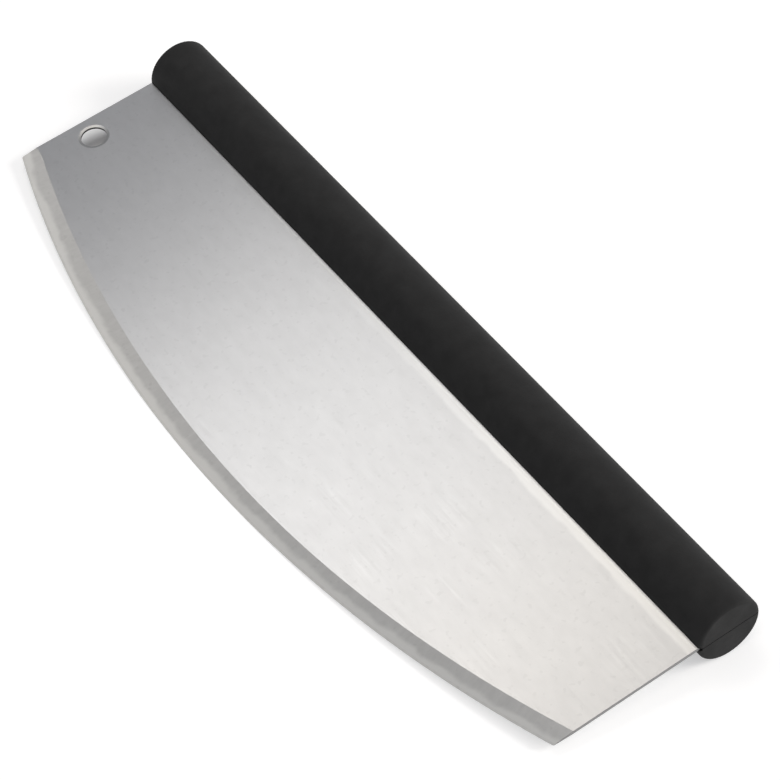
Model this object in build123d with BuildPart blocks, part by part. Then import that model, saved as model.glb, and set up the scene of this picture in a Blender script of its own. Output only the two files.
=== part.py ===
"""Rocking pizza knife: a ground sheet-steel blade with a hanging hole, held by its tang in a round
two-part moulded handle. It lies as it is put down on a table: the handle's underside and the middle
of the curved edge touch z = 0, the handle runs along X, the cutting edge faces -Y."""

import os
from math import asin, atan2, cos, hypot, sin

from build123d import *

# Blade, millimetres
blade_length = 355.0
blade_thickness = 1.5
corner_drop = 75.3
edge_rise = 29.9
corner_radius = 1.0

# Ground edge of the blade, the same on both faces
bevel_width = 7.8
honed_width = 0.9
honed_thickness = 0.30
edge_thickness = 0.10

# Hanging hole near one side of the blade
hang_hole_diameter = 10.5
hang_hole_inset = 10.0
hang_hole_drop = 47.2
hang_rim_width = 1.1
hang_rim_depth = 0.3

# Tang, the part of the blade inside the handle
tang_inset = 6.5
tang_rise = 3.0
tang_corner_radius = 2.5
shoulder_depth = 1.4

# Handle
handle_diameter = 26.7
handle_overhang = 0.8
end_rounding = 1.4
wall = 2.8
end_wall = 4.2
rib_thickness = 1.8
parting_groove_width = 0.36
parting_groove_depth = 0.35
tongue_width = 1.0
tongue_height = 0.9
tongue_setback = 0.9

# Pins through the tang, held in bosses of both handle halves
pin_count = 4
pin_diameter = 5.0
pin_length = 16.0
pin_drop = 4.2
pin_chamfer = 0.4
boss_wall = 2.0

# Fits, each a gap on one side
slot_clearance = 0.05
seat_clearance = 0.05
pin_clearance = 0.03
tang_hole_clearance = 0.10
tongue_clearance = 0.10

# Overrun of a cut past the face that it leaves
overrun = 2.0

# Sizes that follow
handle_radius = handle_diameter / 2
handle_length = blade_length + 2 * handle_overhang
half_blade = blade_length / 2
half_thickness = blade_thickness / 2
edge_drop = corner_drop + edge_rise
edge_radius = (half_blade**2 + edge_rise**2) / (2 * edge_rise)
shoulder_y = shoulder_depth - handle_radius
tang_length = blade_length - 2 * tang_inset
hang_hole_radius = hang_hole_diameter / 2
pin_radius = pin_diameter / 2
inner_radius = handle_radius - wall
inner_length = handle_length - 2 * end_wall
bay_count = 3 * pin_count
bay_length = inner_length / bay_count
pin_pitch = 3 * bay_length
slot_half_width = half_thickness + slot_clearance

# The knife lies on the handle and on whichever line of the ground edge comes down first
edge_lines = [
    (edge_drop, edge_thickness / 2),
    (edge_drop - honed_width, honed_thickness / 2),
    (edge_drop - bevel_width, half_thickness),
]
tilt = min(asin(handle_radius / hypot(drop, half)) - atan2(half, drop) for drop, half in edge_lines)
reach = edge_drop * cos(tilt) + edge_thickness / 2 * sin(tilt)

# Planes: the blade's middle plane with its origin on the handle's axis and its normal to the front,
# the same turned across the handle, and a section through the middle of the edge
blade_plane = Plane(
    origin=(0, (reach - handle_radius) / 2, handle_radius),
    x_dir=(1, 0, 0),
    z_dir=(0, -sin(tilt), cos(tilt)),
)
section_plane = Plane(
    origin=blade_plane.origin,
    x_dir=blade_plane.y_dir,
    z_dir=blade_plane.x_dir,
)
handle_axis = Axis(blade_plane.origin, blade_plane.x_dir)
edge_axis = Axis(blade_plane.from_local_coords((0, edge_radius - edge_drop, 0)), blade_plane.z_dir)


# Blade with its tang
with BuildPart() as blade:
    with BuildSketch(blade_plane) as outline:
        with BuildLine():
            ThreePointArc((-half_blade, -corner_drop), (0, -edge_drop), (half_blade, -corner_drop))
            Polyline(
                (half_blade, -corner_drop),
                (half_blade, shoulder_y),
                (tang_length / 2, shoulder_y),
                (tang_length / 2, tang_rise),
                (-tang_length / 2, tang_rise),
                (-tang_length / 2, shoulder_y),
                (-half_blade, shoulder_y),
                (-half_blade, -corner_drop),
            )
        make_face()
        fillet(outline.vertices().group_by(Axis.Y)[0], corner_radius)
        fillet(outline.vertices().group_by(Axis.Y)[-1], tang_corner_radius)
    extrude(amount=half_thickness, both=True)

    # Bevel and honed edge, ground along the arc on both faces
    with BuildSketch(section_plane):
        with BuildLine():
            Polyline(
                (bevel_width - edge_drop, half_thickness),
                (honed_width - edge_drop, honed_thickness / 2),
                (-edge_drop, edge_thickness / 2),
                (-edge_drop - overrun, edge_thickness / 2),
                (-edge_drop - overrun, half_thickness + overrun),
                (bevel_width - edge_drop, half_thickness + overrun),
                close=True,
            )
        make_face()
        mirror(about=Plane.XZ)
    revolve(axis=edge_axis, mode=Mode.SUBTRACT)

    # Hanging hole with its rim broken on both faces
    with BuildSketch(blade_plane):
        with Locations((hang_hole_inset - half_blade, -hang_hole_drop)):
            Circle(hang_hole_radius)
    extrude(amount=half_thickness, both=True, mode=Mode.SUBTRACT)
    hang_rims = blade.edges().filter_by(GeomType.CIRCLE).filter_by(
        lambda edge: abs(edge.radius - hang_hole_radius) < hang_rim_depth
    )
    flats = blade.faces().filter_by(Axis(blade_plane.origin, blade_plane.z_dir)).sort_by(SortBy.AREA)[-2:]
    for flat in flats:
        rim = [edge for edge in hang_rims if edge in flat.edges()]
        chamfer(rim, length=hang_rim_width, length2=hang_rim_depth, reference=flat)

    # Holes for the pins
    with BuildSketch(blade_plane):
        with Locations((0, -pin_drop)):
            with GridLocations(pin_pitch, 0, pin_count, 1):
                Circle(pin_radius + tang_hole_clearance)
    extrude(amount=half_thickness, both=True, mode=Mode.SUBTRACT)
blade.part.label = "blade"


# What the mould's core leaves hollow in one half: all but the ribs and the bosses for the pins
with BuildPart() as core:
    with BuildSketch(blade_plane):
        with Locations((0, inner_radius / 2)):
            Rectangle(inner_length, inner_radius)
    revolve(axis=handle_axis, revolution_arc=180)
    with BuildSketch(blade_plane):
        with GridLocations(bay_length, 0, bay_count - 1, 1):
            Rectangle(rib_thickness, handle_diameter)
        with Locations((0, -pin_drop)):
            with GridLocations(pin_pitch, 0, pin_count, 1):
                Circle(pin_radius + boss_wall)
    extrude(amount=handle_radius, mode=Mode.SUBTRACT)

# One moulded half of the handle, as both halves have it
with BuildPart() as half_shell:
    with BuildSketch(blade_plane) as barrel:
        with Locations((0, handle_radius / 2)):
            Rectangle(handle_length, handle_radius)
        fillet(barrel.vertices().group_by(Axis.Y)[-1], end_rounding)
    revolve(axis=handle_axis, revolution_arc=180)
    add(core.part, mode=Mode.SUBTRACT)

    # Slot for the tang, and a shallow one right through for the blade's shoulders
    with BuildSketch(blade_plane):
        with Locations((0, tang_rise + seat_clearance)):
            Rectangle(
                tang_length + 2 * slot_clearance,
                handle_diameter,
                align=(Align.CENTER, Align.MAX),
            )
        with Locations((0, shoulder_y + seat_clearance)):
            Rectangle(
                handle_length + 2 * overrun,
                handle_diameter,
                align=(Align.CENTER, Align.MAX),
            )
    extrude(amount=slot_half_width, mode=Mode.SUBTRACT)

    # Half of the fine groove that shows where the halves close
    with BuildSketch(blade_plane):
        Rectangle(handle_length + 2 * overrun, handle_diameter + 2 * overrun)
        RectangleRounded(
            handle_length - 2 * parting_groove_depth,
            handle_diameter - 2 * parting_groove_depth,
            end_rounding,
            mode=Mode.SUBTRACT,
        )
    extrude(amount=parting_groove_width / 2, mode=Mode.SUBTRACT)

    # Blind holes for the pins
    with BuildSketch(blade_plane):
        with Locations((0, -pin_drop)):
            with GridLocations(pin_pitch, 0, pin_count, 1):
                Circle(pin_radius + pin_clearance)
    extrude(amount=pin_length / 2 + seat_clearance, mode=Mode.SUBTRACT)

# Front half of the handle, with a tongue along its top wall
with BuildPart() as handle_front_half:
    add(half_shell.part)
    with BuildSketch(blade_plane):
        with Locations((0, handle_radius - tongue_setback)):
            Rectangle(inner_length, tongue_width, align=(Align.CENTER, Align.MAX))
    extrude(amount=-tongue_height)
handle_front_half.part.label = "handle_front_half"

# Back half of the handle, with the groove for that tongue
with BuildPart() as handle_back_half:
    mirror(half_shell.part, about=blade_plane)
    with BuildSketch(blade_plane):
        with Locations((0, handle_radius - tongue_setback + tongue_clearance)):
            Rectangle(
                inner_length + 2 * tongue_clearance,
                tongue_width + 2 * tongue_clearance,
                align=(Align.CENTER, Align.MAX),
            )
    extrude(amount=-tongue_height - tongue_clearance, mode=Mode.SUBTRACT)
handle_back_half.part.label = "handle_back_half"

# Pins that carry the blade in the handle
with BuildPart() as tang_pins:
    with BuildSketch(blade_plane):
        with Locations((0, -pin_drop)):
            with GridLocations(pin_pitch, 0, pin_count, 1):
                Circle(pin_radius)
    extrude(amount=pin_length / 2, both=True)
    chamfer(tang_pins.edges().filter_by(GeomType.CIRCLE), pin_chamfer)
tang_pins.part.label = "tang_pins"

os.makedirs("parts", exist_ok=True)
export_step(blade.part, "parts/blade.step")
export_step(handle_front_half.part, "parts/handle_front_half.step")
export_step(handle_back_half.part, "parts/handle_back_half.step")
export_step(tang_pins.part, "parts/tang_pins.step")
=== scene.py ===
"""Looks of the rocking pizza knife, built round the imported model.

A wide blade of ground stainless sheet is held by its tang in a round two-part moulded handle. The knife
lies on a pale floor as it is put down on a table, leaning on its handle and on the middle of its edge.
"""

import logging
import math
from dataclasses import dataclass, field, replace
from enum import Enum

import bmesh
import bpy
from mathutils import Matrix, Vector


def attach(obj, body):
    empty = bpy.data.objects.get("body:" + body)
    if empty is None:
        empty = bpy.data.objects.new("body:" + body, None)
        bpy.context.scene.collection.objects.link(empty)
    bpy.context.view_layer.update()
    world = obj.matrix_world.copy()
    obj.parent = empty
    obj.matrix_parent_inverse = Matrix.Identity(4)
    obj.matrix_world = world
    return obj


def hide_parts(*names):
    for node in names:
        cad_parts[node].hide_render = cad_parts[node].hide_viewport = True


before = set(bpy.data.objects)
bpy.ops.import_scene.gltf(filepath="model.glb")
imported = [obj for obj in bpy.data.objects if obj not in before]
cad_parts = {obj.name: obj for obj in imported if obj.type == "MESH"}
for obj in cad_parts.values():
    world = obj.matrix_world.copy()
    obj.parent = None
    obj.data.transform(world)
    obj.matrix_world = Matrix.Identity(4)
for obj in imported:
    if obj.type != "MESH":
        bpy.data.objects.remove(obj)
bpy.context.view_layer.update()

log = logging.getLogger("rocking_knife")
MM = 0.001
GRAIN_MAP = "grain"

# Points nearer to each other than this are one point
WELD = 0.0001 * MM

# Nearly all values of a noise lie between these two
NOISE_LOW, NOISE_HIGH = 0.3, 0.7

# Sockets of a Mix node that mixes colours: its inputs for the share and for both colours, and its output
MIX_SHARE, MIX_UNDER, MIX_OVER, MIX_COLOUR = 0, 6, 7, 2

# What Blender's area lamp needs for each square metre of its face and each unit of its radiance
WATTS_PER_FACE = 4


def linear(hex_colour: str) -> tuple[float, float, float, float]:
    """Turns an sRGB hex colour into linear light.

    Args:
        hex_colour: six hex digits, such as "c8c8c6".

    Returns:
        Red, green, blue and an alpha of 1.
    """
    channels = []
    for start in (0, 2, 4):
        value = int(hex_colour[start : start + 2], 16) / 255
        channels.append(value / 12.92 if value <= 0.04045 else ((value + 0.055) / 1.055) ** 2.4)
    return (channels[0], channels[1], channels[2], 1.0)


def add_node(
    tree: bpy.types.NodeTree,
    kind: str,
    inputs: dict[str | int, object] | None = None,
    **settings: object,
) -> bpy.types.Node:
    """Adds a node to a tree, with its settings, its values and the links into it.

    Args:
        tree: the node tree of a material or of the world.
        kind: Blender's name of the node's type.
        inputs: input name or number, to a value or to the output socket that feeds it.
        **settings: the node's own properties.

    Returns:
        The new node.
    """
    node = tree.nodes.new(kind)
    for name, value in settings.items():
        setattr(node, name, value)
    for name, value in (inputs or {}).items():
        if isinstance(value, bpy.types.NodeSocket):
            tree.links.new(value, node.inputs[name])
        else:
            node.inputs[name].default_value = value
    return node


def empty_material(name: str) -> tuple[bpy.types.Material, bpy.types.NodeTree]:
    """Makes a material with an empty node tree.

    Args:
        name: the material's name.

    Returns:
        The material and its tree.
    """
    material = bpy.data.materials.new(name)
    material.use_nodes = True
    material.node_tree.nodes.clear()
    return material, material.node_tree


class Lay(Enum):
    """The way in which a wheel or belt ran over the steel, set against the length of the blade.

    The value is how far that turns the highlight, as a share of a full turn.
    """

    ALONG = 0.25
    ACROSS = 0.0


@dataclass(frozen=True)
class BuffAndHighlightBand:
    """A lighter band with an uneven border: on the bevel the band that the wheel or belt left lighter,
    beside the handle a painted highlight.

    It comes in from start to full along the grain map's Y, and from run_start to run_full along its X,
    which by default lie before the blade's end, so that it runs the whole length.
    """

    colour: str
    start: float
    full: float
    sway: float = 2.4 * MM
    sway_length: float = 16 * MM
    run_start: float = -1.0
    run_full: float = -0.9

    def laid_over(
        self,
        tree: bpy.types.NodeTree,
        grain: bpy.types.Node,
        under: bpy.types.NodeSocket,
    ) -> bpy.types.NodeSocket:
        """Adds the nodes that lay the band over a colour.

        Args:
            tree: the material's node tree.
            grain: the node that gives the grain map.
            under: the socket of the colour beside the band.

        Returns:
            The finished colour's socket.
        """
        sway = add_node(
            tree,
            "ShaderNodeTexNoise",
            {
                "Vector": grain.outputs["UV"],
                "Scale": 1 / self.sway_length,
                "Detail": 3.0,
                "Roughness": 0.65,
            },
            noise_dimensions="2D",
        )
        place = add_node(tree, "ShaderNodeSeparateXYZ", {"Vector": grain.outputs["UV"]})
        swayed = add_node(
            tree,
            "ShaderNodeMath",
            {0: sway.outputs["Fac"], 1: 2 * self.sway, 2: place.outputs["Y"]},
            operation="MULTIPLY_ADD",
        )
        over = add_node(
            tree,
            "ShaderNodeMapRange",
            {
                "Value": swayed.outputs[0],
                "From Min": self.start + self.sway,
                "From Max": self.full + self.sway,
            },
            interpolation_type="SMOOTHSTEP",
        )
        along = add_node(
            tree,
            "ShaderNodeMapRange",
            {"Value": place.outputs["X"], "From Min": self.run_start, "From Max": self.run_full},
        )
        share = add_node(
            tree,
            "ShaderNodeMath",
            {0: over.outputs["Result"], 1: along.outputs["Result"]},
            operation="MULTIPLY",
        )
        mixed = add_node(
            tree,
            "ShaderNodeMix",
            {MIX_SHARE: share.outputs[0], MIX_UNDER: under, MIX_OVER: linear(self.colour)},
            data_type="RGBA",
        )
        return mixed.outputs[MIX_COLOUR]


@dataclass(frozen=True)
class GroundSteel:
    """Martensitic stainless sheet, ground with an abrasive belt.

    The scratches lie one way, so a light is drawn out across them and stays short along them. A belt
    of about 120 grit leaves scratches some 0.04 mm wide, too fine to show, so they are drawn 0.12 mm
    wide. The belt's pressure leaves faint lighter and darker clouds, and a few small dull flecks are
    left.
    """

    name: str
    lay: Lay
    colour: str = "c4c4c4"
    roughness: float = 0.34
    roughness_spread: float = 0.04
    anisotropy: float = 0.75
    line_width: float = 0.12 * MM
    line_length: float = 30 * MM
    line_depth: float = 0.002 * MM
    cloud_depth: float = 0.022
    cloud_width: float = 4.5 * MM
    cloud_length: float = 9 * MM
    fleck_size: float = 2.6 * MM
    fleck_depth: float = 0.05
    fleck_start: float = 0.66
    fleck_full: float = 0.74
    bands: tuple[BuffAndHighlightBand, ...] = ()

    def material(self) -> bpy.types.Material:
        """Makes the steel's material, with its scratches along or across the grain map.

        Returns:
            The new material.
        """
        material, tree = empty_material(self.name)
        grain = add_node(tree, "ShaderNodeUVMap", uv_map=GRAIN_MAP)
        lines = self.drawn_noise(tree, grain, self.line_length, self.line_width, 3.0)
        rough = add_node(
            tree,
            "ShaderNodeMapRange",
            {
                "Value": lines.outputs["Fac"],
                "From Min": NOISE_LOW,
                "From Max": NOISE_HIGH,
                "To Min": self.roughness - self.roughness_spread,
                "To Max": self.roughness + self.roughness_spread,
            },
        )
        bump = add_node(
            tree,
            "ShaderNodeBump",
            {"Height": lines.outputs["Fac"], "Distance": self.line_depth, "Strength": 1.0},
        )
        tangent = add_node(tree, "ShaderNodeTangent", direction_type="UV_MAP", uv_map=GRAIN_MAP)
        shader = add_node(
            tree,
            "ShaderNodeBsdfPrincipled",
            {
                "Base Color": self.tone(tree, grain),
                "Metallic": 1.0,
                "Roughness": rough.outputs["Result"],
                "Anisotropic": self.anisotropy,
                "Anisotropic Rotation": self.lay.value,
                "Normal": bump.outputs["Normal"],
                "Tangent": tangent.outputs["Tangent"],
            },
        )
        add_node(tree, "ShaderNodeOutputMaterial", {"Surface": shader.outputs["BSDF"]})
        return material

    def drawn_noise(
        self,
        tree: bpy.types.NodeTree,
        grain: bpy.types.Node,
        length: float,
        width: float,
        detail: float,
    ) -> bpy.types.Node:
        """Adds a noise that is drawn out along the scratches.

        Args:
            tree: the material's node tree.
            grain: the node that gives the grain map.
            length: how far a mark of the noise runs along the scratches.
            width: how wide it is across them.
            detail: how many finer layers the noise has.

        Returns:
            The noise's node.
        """
        along, across = 1 / length, 1 / width
        scale = (along, across, 1) if self.lay is Lay.ALONG else (across, along, 1)
        drawn = add_node(tree, "ShaderNodeMapping", {"Vector": grain.outputs["UV"], "Scale": scale})
        return add_node(
            tree,
            "ShaderNodeTexNoise",
            {"Vector": drawn.outputs["Vector"], "Scale": 1.0, "Detail": detail, "Roughness": 0.6},
            noise_dimensions="2D",
        )

    def tone(self, tree: bpy.types.NodeTree, grain: bpy.types.Node) -> bpy.types.NodeSocket:
        """Works out the steel's colour: its faint clouds, and its lighter bands over them, which are
        buffed bands and painted highlights.

        Args:
            tree: the material's node tree.
            grain: the node that gives the grain map.

        Returns:
            The colour's socket.
        """
        clouds = self.drawn_noise(tree, grain, self.cloud_length, self.cloud_width, 5.0)
        share = add_node(
            tree,
            "ShaderNodeMapRange",
            {"Value": clouds.outputs["Fac"], "From Min": NOISE_LOW, "From Max": NOISE_HIGH},
        )
        red, green, blue, alpha = linear(self.colour)
        dark, light = 1 - self.cloud_depth, 1 + self.cloud_depth
        mixed = add_node(
            tree,
            "ShaderNodeMix",
            {
                MIX_SHARE: share.outputs["Result"],
                MIX_UNDER: (red * dark, green * dark, blue * dark, alpha),
                MIX_OVER: (red * light, green * light, blue * light, alpha),
            },
            data_type="RGBA",
        )
        flecks = self.drawn_noise(tree, grain, self.fleck_size, self.fleck_size, 1.0)
        pitted = add_node(
            tree,
            "ShaderNodeMapRange",
            {
                "Value": flecks.outputs["Fac"],
                "From Min": self.fleck_start,
                "From Max": self.fleck_full,
            },
        )
        dulled = 1 - self.fleck_depth
        flecked = add_node(
            tree,
            "ShaderNodeMix",
            {
                MIX_SHARE: pitted.outputs["Result"],
                MIX_UNDER: mixed.outputs[MIX_COLOUR],
                MIX_OVER: (red * dulled, green * dulled, blue * dulled, alpha),
            },
            data_type="RGBA",
        )
        colour = flecked.outputs[MIX_COLOUR]
        for band in self.bands:
            colour = band.laid_over(tree, grain, colour)
        return colour


@dataclass(frozen=True)
class MouldedPlastic:
    """Black polypropylene from a spark-eroded mould.

    It is matt with a fine even grain, so it shows no clear highlight, only a paler side. The real
    grain is about 0.1 mm, too fine to show, so it is drawn 0.7 mm coarse. Flow in the mould leaves the
    gloss a little patchy.
    """

    name: str = "moulded_polypropylene"
    colour: str = "181818"
    roughness: float = 0.82
    ior: float = 1.49
    grain_size: float = 0.7 * MM
    grain_depth: float = 0.035 * MM
    patch_size: float = 7 * MM
    patch_roughness: float = 0.06

    def material(self) -> bpy.types.Material:
        """Makes the plastic's material from Object coordinates.

        Returns:
            The new material.
        """
        material, tree = empty_material(self.name)
        place = add_node(tree, "ShaderNodeTexCoord")
        grain = add_node(
            tree,
            "ShaderNodeTexNoise",
            {"Vector": place.outputs["Object"], "Scale": 1 / self.grain_size, "Detail": 2.0},
        )
        patches = add_node(
            tree,
            "ShaderNodeTexNoise",
            {"Vector": place.outputs["Object"], "Scale": 1 / self.patch_size, "Detail": 3.0},
        )
        rough = add_node(
            tree,
            "ShaderNodeMapRange",
            {
                "Value": patches.outputs["Fac"],
                "From Min": NOISE_LOW,
                "From Max": NOISE_HIGH,
                "To Min": self.roughness - self.patch_roughness,
                "To Max": self.roughness + self.patch_roughness,
            },
        )
        bump = add_node(
            tree,
            "ShaderNodeBump",
            {"Height": grain.outputs["Fac"], "Distance": self.grain_depth, "Strength": 1.0},
        )
        shader = add_node(
            tree,
            "ShaderNodeBsdfPrincipled",
            {
                "Base Color": linear(self.colour),
                "Roughness": rough.outputs["Result"],
                "IOR": self.ior,
                "Normal": bump.outputs["Normal"],
            },
        )
        add_node(tree, "ShaderNodeOutputMaterial", {"Surface": shader.outputs["BSDF"]})
        return material


@dataclass(frozen=True)
class PlainSteel:
    """Turned, sheared or punched steel, where no belt ran over it.

    It has no lay, so it shines evenly all round. Its tool marks are about 0.1 mm, too fine to show, so
    they are drawn 0.4 mm coarse.
    """

    name: str
    colour: str = "a8a8a8"
    roughness: float = 0.4
    roughness_spread: float = 0.1
    mark_size: float = 0.4 * MM

    def material(self) -> bpy.types.Material:
        """Makes the steel's material from Object coordinates.

        Returns:
            The new material.
        """
        material, tree = empty_material(self.name)
        place = add_node(tree, "ShaderNodeTexCoord")
        noise = add_node(
            tree,
            "ShaderNodeTexNoise",
            {"Vector": place.outputs["Object"], "Scale": 1 / self.mark_size, "Detail": 2.0},
        )
        rough = add_node(
            tree,
            "ShaderNodeMapRange",
            {
                "Value": noise.outputs["Fac"],
                "To Min": self.roughness - self.roughness_spread,
                "To Max": self.roughness + self.roughness_spread,
            },
        )
        shader = add_node(
            tree,
            "ShaderNodeBsdfPrincipled",
            {
                "Base Color": linear(self.colour),
                "Metallic": 1.0,
                "Roughness": rough.outputs["Result"],
            },
        )
        add_node(tree, "ShaderNodeOutputMaterial", {"Surface": shader.outputs["BSDF"]})
        return material


@dataclass
class KnifePlace:
    """Where the knife lies: the blade's middle plane, with its origin on the handle's axis."""

    handle_radius: float = 13.35 * MM
    edge_drop: float = 105.2 * MM
    edge_half_thickness: float = 0.05 * MM

    def matrix(self) -> Matrix:
        """Works out how the knife lies.

        Returns:
            The turn and shift from the knife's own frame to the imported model's.
        """
        lean = math.asin(self.handle_radius / math.hypot(self.edge_drop, self.edge_half_thickness))
        lean -= math.atan2(self.edge_half_thickness, self.edge_drop)
        reach = self.edge_drop * math.cos(lean) + self.edge_half_thickness * math.sin(lean)
        shift = Vector((0.0, (reach - self.handle_radius) / 2, self.handle_radius))
        return Matrix.Translation(shift) @ Matrix.Rotation(lean, 4, "X")


class Region(Enum):
    """The surfaces of the blade that have a finish of their own, each with its material slot."""

    FACE = 0
    BEVEL = 1
    HONED = 2
    CUT = 3
    # The hole's wall: punched, with painted shade in its colour.
    PAINTED_SHADE_HOLE_WALL = 4
    RIM = 5


@dataclass
class Blade:
    """The blade with its tang, ground along the arc of its edge on both faces.

    Its own frame has the handle's axis as X and the blade's middle plane as z = 0, with the edge
    towards -Y. A surface is told by the Z part of its normal, which is at least face_lean on the face,
    ground_lean on the bevel and the honed strip, and rim_lean on the rim of the hole. A point counts as
    on a line or plane up to slack away, and a direction as along an axis from along_axis up. Two faces
    shade as one up to soft_angle, in radians.
    """

    length: float = 355.0 * MM
    thickness: float = 1.5 * MM
    corner_drop: float = 75.3 * MM
    edge_rise: float = 29.9 * MM
    corner_radius: float = 1.0 * MM
    corner_steps: int = 8
    bevel_width: float = 7.8 * MM
    bevel_crown: float = 0.02 * MM
    heel_waver: float = 0.45 * MM
    heel_waver_length: float = 320 * MM
    heel_waver_peak: float = -90 * MM
    heel_roll: float = 1.2 * MM
    heel_roll_length: float = 7.5 * MM
    honed_width: float = 0.9 * MM
    honed_thickness: float = 0.30 * MM
    edge_thickness: float = 0.10 * MM
    hole_diameter: float = 10.5 * MM
    hole_inset: float = 10.0 * MM
    hole_drop: float = 47.2 * MM
    rim_width: float = 1.1 * MM
    rim_depth: float = 0.3 * MM
    tang_inset: float = 6.5 * MM
    tang_rise: float = 3.0 * MM
    tang_corner_radius: float = 2.5 * MM
    shoulder_drop: float = 11.95 * MM
    pin_pitch: float = 87.05 * MM
    pin_count: int = 4
    pin_drop: float = 4.2 * MM
    pin_hole_radius: float = 2.6 * MM
    arris: float = 0.12 * MM
    arris_steps: int = 2
    tang_corner_steps: int = 8
    arc_steps: int = 180
    arc_overrun_share: float = 0.15
    cut_steps: int = 72
    bevel_steps: int = 4
    slack: float = 0.012 * MM
    face_lean: float = 0.99999
    ground_lean: float = 0.95
    rim_lean: float = 0.5
    along_axis: float = 0.99
    soft_angle: float = 0.5
    place: Matrix = field(default_factory=Matrix)

    @property
    def edge_drop(self) -> float:
        """Distance from the handle's axis to the middle of the edge."""
        return self.corner_drop + self.edge_rise

    @property
    def edge_radius(self) -> float:
        """Radius of the curved edge."""
        return ((self.length / 2) ** 2 + self.edge_rise**2) / (2 * self.edge_rise)

    @property
    def arc_centre(self) -> Vector:
        """Centre of the curved edge, in the knife's frame."""
        return Vector((0.0, self.edge_radius - self.edge_drop, 0.0))

    def section(self) -> list[tuple[float, float]]:
        """Works out the blade's section at the middle of the edge.

        Returns:
            (y, z) pairs of the front side, from the tang down to the edge.
        """
        half = self.thickness / 2
        heel = self.bevel_width - self.edge_drop
        toe = self.honed_width - self.edge_drop
        points = [(self.tang_rise + self.thickness, half), (heel, half)]
        for step in range(1, self.bevel_steps):
            share = step / self.bevel_steps
            y = heel + (toe - heel) * share
            z = half + (self.honed_thickness / 2 - half) * share
            points.append((y, z + self.bevel_crown * 4 * share * (1 - share)))
        points.append((toe, self.honed_thickness / 2))
        points.append((-self.edge_drop, self.edge_thickness / 2))
        return points

    def ground_plate(self) -> bmesh.types.BMesh:
        """Spins the section along the edge's arc and trims it to the sides and the shoulders.

        Returns:
            The closed plate up to its shoulders, in the knife's frame.
        """
        mesh = bmesh.new()
        front = self.section()
        loop = front + [(y, -z) for y, z in reversed(front)]
        corners = [mesh.verts.new((0.0, y, z)) for y, z in loop]
        ring = [mesh.edges.new((a, b)) for a, b in zip(corners, corners[1:] + corners[:1])]
        swing = math.asin(self.length / 2 / self.edge_radius) * (1 + self.arc_overrun_share)
        turn = Matrix.Rotation(-swing, 3, "Z")
        bmesh.ops.rotate(mesh, cent=self.arc_centre, matrix=turn, verts=corners)
        bmesh.ops.spin(
            mesh,
            geom=corners + ring,
            cent=self.arc_centre,
            axis=(0, 0, 1),
            angle=2 * swing,
            steps=self.arc_steps,
        )
        self.waver_heel(mesh)
        self.trim(mesh, (self.length / 2, 0, 0), (1, 0, 0))
        self.trim(mesh, (-self.length / 2, 0, 0), (-1, 0, 0))
        self.trim(mesh, (0, -self.shoulder_drop, 0), (0, 1, 0))
        return mesh

    def waver_heel(self, mesh: bmesh.types.BMesh) -> None:
        """Lets the line where the bevel starts waver a little, as it does on a hand-held grind.

        The wheel rolls off at the end beside the hanging hole, so the line bends to the edge there.

        Args:
            mesh: the spun plate.
        """
        heel = self.edge_radius - self.bevel_width
        for spot in mesh.verts:
            arm = (spot.co - self.arc_centre).xy
            on_face = abs(spot.co.z) > self.thickness / 2 - self.slack
            if on_face and abs(arm.length - heel) < self.arris:
                phase = math.tau * (spot.co.x - self.heel_waver_peak) / self.heel_waver_length
                near_end = max(0.0, 1 - (spot.co.x + self.length / 2) / self.heel_roll_length)
                out = self.heel_roll * near_end**2 - self.heel_waver * math.cos(phase)
                shift = arm.normalized() * out
                spot.co += Vector((shift.x, shift.y, 0))

    @staticmethod
    def trim(
        mesh: bmesh.types.BMesh,
        point: Vector | tuple[float, float, float],
        normal: Vector | tuple[float, float, float],
        keep: bool = False,
    ) -> None:
        """Cuts a mesh with a plane and closes the cut.

        Args:
            mesh: the mesh that is cut.
            point: a point on the plane.
            normal: the plane's normal, on the side that goes.
            keep: True to score the mesh only, and cut nothing off.
        """
        cut = bmesh.ops.bisect_plane(
            mesh,
            geom=mesh.verts[:] + mesh.edges[:] + mesh.faces[:],
            dist=WELD,
            plane_co=point,
            plane_no=normal,
            clear_outer=not keep,
        )
        if not keep:
            rim = [part for part in cut["geom_cut"] if isinstance(part, bmesh.types.BMEdge)]
            bmesh.ops.contextual_create(mesh, geom=rim)

    def add_tang(self, mesh: bmesh.types.BMesh) -> None:
        """Draws the tang out of the plate's top, set in from both sides.

        Args:
            mesh: the closed plate.
        """
        half = self.length / 2 - self.tang_inset
        self.trim(mesh, (half, 0, 0), (1, 0, 0), keep=True)
        self.trim(mesh, (-half, 0, 0), (-1, 0, 0), keep=True)
        tops = [
            face
            for face in mesh.faces
            if face.normal.y > self.along_axis and abs(face.calc_center_median().x) < half
        ]
        drawn = bmesh.ops.extrude_face_region(mesh, geom=tops)["geom"]
        bmesh.ops.delete(mesh, geom=tops, context="FACES_ONLY")
        raised = [part for part in drawn if isinstance(part, bmesh.types.BMVert)]
        rise = self.tang_rise + self.shoulder_drop
        bmesh.ops.translate(mesh, vec=(0, rise, 0), verts=raised)

    def round_edge_corners(self, mesh: bmesh.types.BMesh) -> None:
        """Takes off the two corners where the sides meet the curved edge, in small flats.

        Args:
            mesh: the closed plate.
        """
        run = self.length / 2 - self.corner_radius
        drop = math.sqrt((self.edge_radius - self.corner_radius) ** 2 - run**2)
        for side in (-1, 1):
            centre = self.arc_centre + Vector((side * run, -drop, 0))
            for step in range(1, self.corner_steps):
                turn = math.atan2(drop, run) * step / self.corner_steps
                normal = Vector((side * math.cos(turn), -math.sin(turn), 0))
                self.trim(mesh, centre + normal * self.corner_radius, normal)

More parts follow.
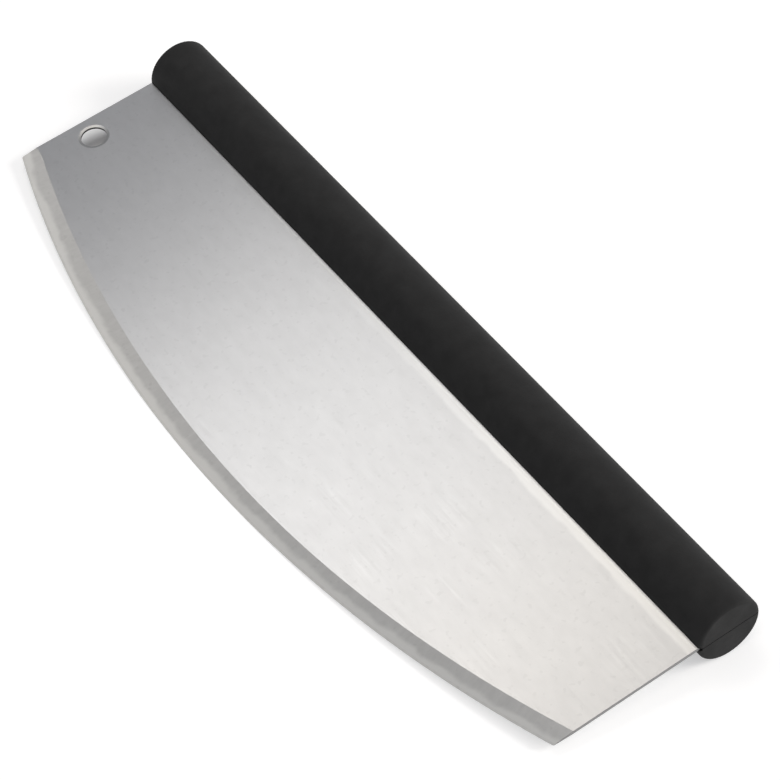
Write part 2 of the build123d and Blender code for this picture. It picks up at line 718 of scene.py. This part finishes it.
    def break_sides(self, mesh: bmesh.types.BMesh) -> None:
        """Breaks the long sharp edges of the blade's two sides, down to where the honing starts.

        Args:
            mesh: the closed plate.
        """
        limit = self.honed_thickness / 2 - self.slack
        sharp = []
        for edge in mesh.edges:
            one, two = (end.co for end in edge.verts)
            on_side = all(abs(abs(end.x) - self.length / 2) < self.slack for end in (one, two))
            on_one_face = min(abs(one.z), abs(two.z)) > limit and one.z * two.z > 0
            if on_side and on_one_face and abs(one.y - two.y) > self.arris:
                sharp.append(edge)
        bmesh.ops.bevel(
            mesh,
            geom=sharp,
            offset=self.arris,
            affect="EDGES",
            segments=self.arris_steps,
            profile=0.5,
            material=-1,
        )

    def round_tang(self, mesh: bmesh.types.BMesh) -> None:
        """Rounds the tang's top corners.

        Args:
            mesh: the plate with its tang.
        """
        half = self.length / 2 - self.tang_inset
        near = []
        for edge in mesh.edges:
            one, two = (end.co for end in edge.verts)
            through = abs((one - two).normalized().z) > self.along_axis
            at_top = abs(one.y - self.tang_rise) < self.slack
            at_side = abs(abs(one.x) - half) < self.slack
            if through and at_top and at_side:
                near.append(edge)
        bmesh.ops.bevel(
            mesh,
            geom=near,
            offset=self.tang_corner_radius,
            affect="EDGES",
            segments=self.tang_corner_steps,
            profile=0.5,
            material=-1,
        )

    def cutter(self) -> bmesh.types.BMesh:
        """Makes what the holes take away: the hanging hole with its broken rims, and the pin holes.

        Returns:
            The closed shapes, in the knife's frame.
        """
        mesh = bmesh.new()
        half = self.thickness / 2
        radius = self.hole_diameter / 2
        over = self.thickness
        slope = self.rim_width / self.rim_depth
        profile = [
            (0.0, half + over),
            (radius + self.rim_width + slope * over, half + over),
            (radius, half - self.rim_depth),
            (radius, self.rim_depth - half),
            (radius + self.rim_width + slope * over, -half - over),
            (0.0, -half - over),
        ]
        self.turn(mesh, profile, Vector((self.hole_inset - self.length / 2, -self.hole_drop, 0)))
        pin = [
            (0.0, over),
            (self.pin_hole_radius, over),
            (self.pin_hole_radius, -over),
            (0.0, -over),
        ]
        for number in range(self.pin_count):
            x = (number - (self.pin_count - 1) / 2) * self.pin_pitch
            self.turn(mesh, pin, Vector((x, -self.pin_drop, 0)))
        return mesh

    def turn(self, mesh: bmesh.types.BMesh, profile: list[tuple[float, float]], centre: Vector) -> None:
        """Turns a profile about an axis through a hole.

        Args:
            mesh: the mesh that gets the turned shape.
            profile: (radius, z) pairs, from the axis round to the axis.
            centre: the hole's centre.
        """
        corners = [mesh.verts.new(centre + Vector((r, 0, z))) for r, z in profile]
        lines = [mesh.edges.new(pair) for pair in zip(corners, corners[1:])]
        bmesh.ops.spin(
            mesh,
            geom=corners + lines,
            cent=centre,
            axis=(0, 0, 1),
            angle=math.tau,
            steps=self.cut_steps,
            use_merge=True,
        )
        bmesh.ops.remove_doubles(mesh, verts=mesh.verts[:], dist=WELD)
        bmesh.ops.recalc_face_normals(mesh, faces=mesh.faces[:])

    def region(self, face: bmesh.types.BMFace) -> Region:
        """Says which finish a face of the blade has, from where it is and how it leans.

        Args:
            face: a face of the finished mesh, in the knife's frame.

        Returns:
            The surface that it belongs to.
        """
        centre = face.calc_center_median()
        radial = (centre - self.arc_centre).xy.length
        lean = abs(face.normal.z)
        if lean > self.face_lean:
            return Region.FACE
        if lean > self.ground_lean and radial > self.edge_radius - self.honed_width:
            return Region.HONED
        if lean > self.ground_lean and radial > self.edge_radius - self.bevel_width - self.heel_waver:
            return Region.BEVEL
        hole = Vector((self.hole_inset - self.length / 2, -self.hole_drop))
        if (centre.xy - hole).length < self.hole_diameter / 2 + self.rim_width:
            return Region.RIM if lean > self.rim_lean else Region.PAINTED_SHADE_HOLE_WALL
        return Region.CUT

    def map_grain(self, mesh: bmesh.types.BMesh) -> None:
        """Lays the grain map: metres along the length and across it, or along the edge and across.

        Args:
            mesh: the finished mesh, in the knife's frame, with its material slots set.
        """
        layer = mesh.loops.layers.uv.new(GRAIN_MAP)
        for face in mesh.faces:
            ground = face.material_index in (Region.BEVEL.value, Region.HONED.value)
            for corner in face.loops:
                spot = corner.vert.co
                if ground:
                    arm = spot - self.arc_centre
                    run = math.atan2(arm.x, -arm.y) * self.edge_radius
                    corner[layer].uv = (run, arm.xy.length)
                else:
                    corner[layer].uv = (spot.x, spot.y)

    def build(self) -> bpy.types.Object:
        """Builds the blade's mesh, in the place where the knife lies.

        Returns:
            The blade's object.
        """
        mesh = self.ground_plate()
        self.round_edge_corners(mesh)
        self.break_sides(mesh)
        self.add_tang(mesh)
        bmesh.ops.remove_doubles(mesh, verts=mesh.verts[:], dist=WELD)
        self.round_tang(mesh)
        bmesh.ops.recalc_face_normals(mesh, faces=mesh.faces[:])
        blade = to_object("blade_ground", mesh)
        holes = to_object("hole_cutter", self.cutter())
        cut = blade.modifiers.new("holes", "BOOLEAN")
        cut.object = holes
        cut.solver = "EXACT"
        apply_modifiers(blade)
        bpy.data.objects.remove(holes)
        mesh = bmesh.new()
        mesh.from_mesh(blade.data)
        bmesh.ops.remove_doubles(mesh, verts=mesh.verts[:], dist=WELD)
        mesh.normal_update()
        for face in mesh.faces:
            face.material_index = self.region(face).value
            face.smooth = True
        for edge in mesh.edges:
            if len(edge.link_faces) == 2:
                one, two = edge.link_faces
                same = one.material_index == two.material_index
                edge.smooth = same and edge.calc_face_angle() < self.soft_angle
        self.map_grain(mesh)
        bmesh.ops.transform(mesh, matrix=self.place, verts=mesh.verts[:])
        mesh.to_mesh(blade.data)
        mesh.free()
        return blade

    def dress(self, blade: bpy.types.Object) -> None:
        """Gives the blade its finishes, in the order of the regions.

        Args:
            blade: the blade's object.
        """
        # The two bands beside the handle are a painted highlight. They lighten the face's colour in
        # strips along the handle.
        painted_highlight_beside_handle = BuffAndHighlightBand(
            colour="d2d2d1",
            start=-18.6 * MM,
            full=-16.6 * MM,
            sway=1.6 * MM,
            run_start=-60 * MM,
            run_full=60 * MM,
        )
        painted_highlight_against_handle = BuffAndHighlightBand(
            colour="e8e8e7",
            start=-15.1 * MM,
            full=-14.0 * MM,
            sway=0.0,
            run_start=-250 * MM,
            run_full=60 * MM,
        )
        buffed = BuffAndHighlightBand(
            colour="d5d5d3",
            start=self.edge_radius - 4.4 * MM,
            full=self.edge_radius - 2.0 * MM,
        )
        bevel = GroundSteel(
            "cross_ground_bevel",
            Lay.ACROSS,
            colour="c0c0bf",
            roughness=0.42,
            anisotropy=1.0,
            line_length=6 * MM,
            cloud_depth=0.04,
            cloud_width=2.5 * MM,
            cloud_length=7 * MM,
            bands=(buffed,),
        )
        finishes = (
            # The face's material carries the painted highlight beside the handle.
            GroundSteel("satin_ground_stainless_painted_highlight", Lay.ALONG, bands=(painted_highlight_beside_handle, painted_highlight_against_handle)),
            bevel,
            replace(bevel, name="honed_edge", colour="d0d0ce", line_length=1 * MM, bands=()),
            PlainSteel("sheared_stainless_edge", colour="8e8e8e"),
            # The hole wall's dark colour is painted shade. Its rougher finish stands for the punch's
            # fracture zone.
            PlainSteel("punched_hole_wall_painted_shade", colour="5c5c5b", roughness=0.5),
            PlainSteel("countersunk_rim", colour="aaaaa9", roughness=0.36),
        )
        for finish in finishes:
            blade.data.materials.append(finish.material())


def to_object(name: str, mesh: bmesh.types.BMesh) -> bpy.types.Object:
    """Puts a bmesh into a new object at the origin, and frees it.

    Args:
        name: the object's name.
        mesh: the finished bmesh.

    Returns:
        The linked object.
    """
    data = bpy.data.meshes.new(name)
    mesh.to_mesh(data)
    mesh.free()
    made = bpy.data.objects.new(name, data)
    bpy.context.scene.collection.objects.link(made)
    return made


def apply_modifiers(made: bpy.types.Object) -> None:
    """Replaces an object's mesh by what its modifiers make of it.

    Args:
        made: the object that loses its modifiers.
    """
    graph = bpy.context.evaluated_depsgraph_get()
    graph.update()
    shaped = bpy.data.meshes.new_from_object(made.evaluated_get(graph))
    made.modifiers.clear()
    made.data = shaped


@dataclass
class Handle:
    """The two moulded halves and the pins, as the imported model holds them."""

    halves: tuple[str, ...] = ("handle_front_half", "handle_back_half")
    pins: str = "tang_pins"
    plastic: MouldedPlastic = MouldedPlastic()
    steel: PlainSteel = PlainSteel("turned_pin_steel")

    def dress(self) -> None:
        """Gives the handle's halves and pins their finishes."""
        plastic = self.plastic.material()
        for node in self.halves:
            set_material(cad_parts[node], plastic)
            log.info("%s: %s", node, plastic.name)
        steel = self.steel.material()
        set_material(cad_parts[self.pins], steel)
        log.info("%s: %s", self.pins, steel.name)


def set_material(made: bpy.types.Object, material: bpy.types.Material) -> None:
    """Puts one material in every slot of an object.

    Args:
        made: the object.
        material: the material that it gets.
    """
    if not made.material_slots:
        made.data.materials.append(material)
    for slot in made.material_slots:
        slot.material = material


@dataclass(frozen=True)
class Panel:
    """One soft panel lamp. Its radiance is how bright its face is, where fully lit white paper is 1."""

    name: str
    centre: tuple[float, float, float]
    width: float
    depth: float
    radiance: float
    turned: bool = False
    tint: tuple[float, float, float] = (1.0, 0.972, 0.935)

    def hang(self) -> None:
        """Hangs the lamp level, or turned to face the knife."""
        data = bpy.data.lights.new(self.name, "AREA")
        data.shape = "RECTANGLE"
        data.size, data.size_y = self.width, self.depth
        data.energy = WATTS_PER_FACE * self.radiance * self.width * self.depth
        data.color = self.tint
        made = bpy.data.objects.new(self.name, data)
        made.location = self.centre
        if self.turned:
            made.rotation_euler = Vector(self.centre).to_track_quat("Z", "Y").to_euler()
        bpy.context.scene.collection.objects.link(made)
        log.info("%s: radiance %.2f", self.name, self.radiance)


@dataclass
class Studio:
    """Pale floor, soft lamps and the light that comes from all round.

    The room is as bright as low_light up to the angle walls_end, and as high_light from ceiling_start.
    """

    floor_size: float = 12.0
    floor_colour: str = "dcdcdc"
    low_light: float = 0.44
    high_light: float = 0.38
    walls_end: float = math.radians(8)
    ceiling_start: float = math.radians(34)
    sky_tint: tuple[float, float, float, float] = (0.95, 0.965, 1.02, 1.0)
    panels: tuple[Panel, ...] = (
        Panel("key_panel", (-0.67, 0.025, 1.0), 0.36, 0.85, 1.4, tint=(1.0, 0.982, 0.96)),
        Panel("warm_key_panel", (-0.37, 0.025, 1.0), 0.24, 0.85, 1.44, tint=(1.0, 0.94, 0.855)),
        Panel("fill_panel", (0.30, -0.55, 1.0), 0.4, 0.9, 0.92, tint=(1.0, 0.92, 0.82)),
        Panel("rim_panel", (1.1, 1.5, 1.1), 0.9, 0.9, 8.0, turned=True),
    )
    floor_glow: float = 0.46
    # A disc of painted shadow on the floor: its glow is left out round shade_centre.
    shade_centre: tuple[float, float, float] = (-160 * MM, 2.5 * MM, 0.0)
    shade_inner: float = 12 * MM
    shade_outer: float = 24 * MM

    def floor(self) -> None:
        """Lays the floor that the knife lies on."""
        mesh = bmesh.new()
        bmesh.ops.create_grid(mesh, x_segments=1, y_segments=1, size=self.floor_size / 2)
        floor = to_object("floor", mesh)
        material, tree = empty_material("pale_floor")
        matt = add_node(tree, "ShaderNodeBsdfDiffuse", {"Color": linear(self.floor_colour)})
        path = add_node(tree, "ShaderNodeLightPath")
        mirrored = add_node(
            tree,
            "ShaderNodeMath",
            {0: path.outputs["Is Glossy Ray"], 1: path.outputs["Is Transmission Ray"]},
            operation="ADD",
        )
        looked_at = add_node(
            tree,
            "ShaderNodeMath",
            {0: path.outputs["Is Camera Ray"], 1: mirrored.outputs[0]},
            operation="ADD",
            use_clamp=True,
        )
        lit = add_node(
            tree,
            "ShaderNodeMath",
            {0: looked_at.outputs[0], 1: self.clear_of_shade(tree)},
            operation="MULTIPLY",
        )
        strength = add_node(
            tree,
            "ShaderNodeMath",
            {0: lit.outputs[0], 1: self.floor_glow},
            operation="MULTIPLY",
        )
        glow = add_node(tree, "ShaderNodeEmission", {"Strength": strength.outputs[0]})
        both = add_node(tree, "ShaderNodeAddShader", {0: matt.outputs[0], 1: glow.outputs[0]})
        add_node(tree, "ShaderNodeOutputMaterial", {"Surface": both.outputs[0]})
        set_material(floor, material)

    def clear_of_shade(self, tree: bpy.types.NodeTree) -> bpy.types.NodeSocket:
        """Works out where the floor glows: not in a disc under the blade's end, where the glow is left
        out as a painted shadow over what the hole shows.

        Args:
            tree: the floor material's node tree.

        Returns:
            A socket that is 0 in the shade and 1 clear of it.
        """
        place = add_node(tree, "ShaderNodeTexCoord")
        away = add_node(
            tree,
            "ShaderNodeVectorMath",
            {0: place.outputs["Object"], 1: self.shade_centre},
            operation="DISTANCE",
        )
        clear = add_node(
            tree,
            "ShaderNodeMapRange",
            {
                "Value": away.outputs["Value"],
                "From Min": self.shade_inner,
                "From Max": self.shade_outer,
            },
            interpolation_type="SMOOTHSTEP",
        )
        return clear.outputs["Result"]

    def sky(self) -> None:
        """Lights the room from all round: pale walls, and a greyer ceiling."""
        world = bpy.data.worlds.new("room")
        bpy.context.scene.world = world
        world.use_nodes = True
        tree = world.node_tree
        tree.nodes.clear()
        place = add_node(tree, "ShaderNodeTexCoord")
        parts = add_node(tree, "ShaderNodeSeparateXYZ", {"Vector": place.outputs["Generated"]})
        level = add_node(
            tree,
            "ShaderNodeMapRange",
            {
                "Value": parts.outputs["Z"],
                "From Min": math.sin(self.walls_end),
                "From Max": math.sin(self.ceiling_start),
                "To Min": self.low_light,
                "To Max": self.high_light,
            },
            interpolation_type="SMOOTHSTEP",
        )
        light = add_node(
            tree,
            "ShaderNodeBackground",
            {"Color": self.sky_tint, "Strength": level.outputs["Result"]},
        )
        add_node(tree, "ShaderNodeOutputWorld", {"Surface": light.outputs[0]})

    def build(self) -> None:
        """Builds floor, sky and lamps."""
        self.floor()
        self.sky()
        for panel in self.panels:
            panel.hang()


@dataclass
class Viewpoint:
    """The camera, from a perspective fit of the knife's outline, handle and hole."""

    spot: tuple[float, float, float] = (0.68254, -0.44666, 0.87903)
    aim: tuple[float, float, float] = (0.00797, 0.02114, 0.0)
    lens_mm: float = 148.35
    sensor_mm: float = 36.0
    near: float = 0.05
    far: float = 50.0

    def build(self) -> None:
        """Sets up the scene's camera."""
        data = bpy.data.cameras.new("camera")
        data.lens = self.lens_mm
        data.sensor_width = self.sensor_mm
        data.clip_start, data.clip_end = self.near, self.far
        made = bpy.data.objects.new("camera", data)
        made.location = self.spot
        look = (Vector(self.aim) - Vector(self.spot)).to_track_quat("-Z", "Y")
        made.rotation_euler = look.to_euler()
        bpy.context.scene.collection.objects.link(made)
        bpy.context.scene.camera = made


def main() -> None:
    """Builds the knife's pieces in order, then the studio and the camera."""
    logging.basicConfig(level=logging.INFO, format="%(message)s")
    scene = bpy.context.scene
    scene.view_settings.view_transform = "Standard"
    Viewpoint().build()
    place = KnifePlace().matrix()
    maker = Blade(place=place)
    blade = maker.build()
    maker.dress(blade)
    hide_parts("blade")
    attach(blade, "root")
    log.info("blade: %d faces", len(blade.data.polygons))
    Handle().dress()
    Studio().build()


if __name__ == "__main__":
    main()
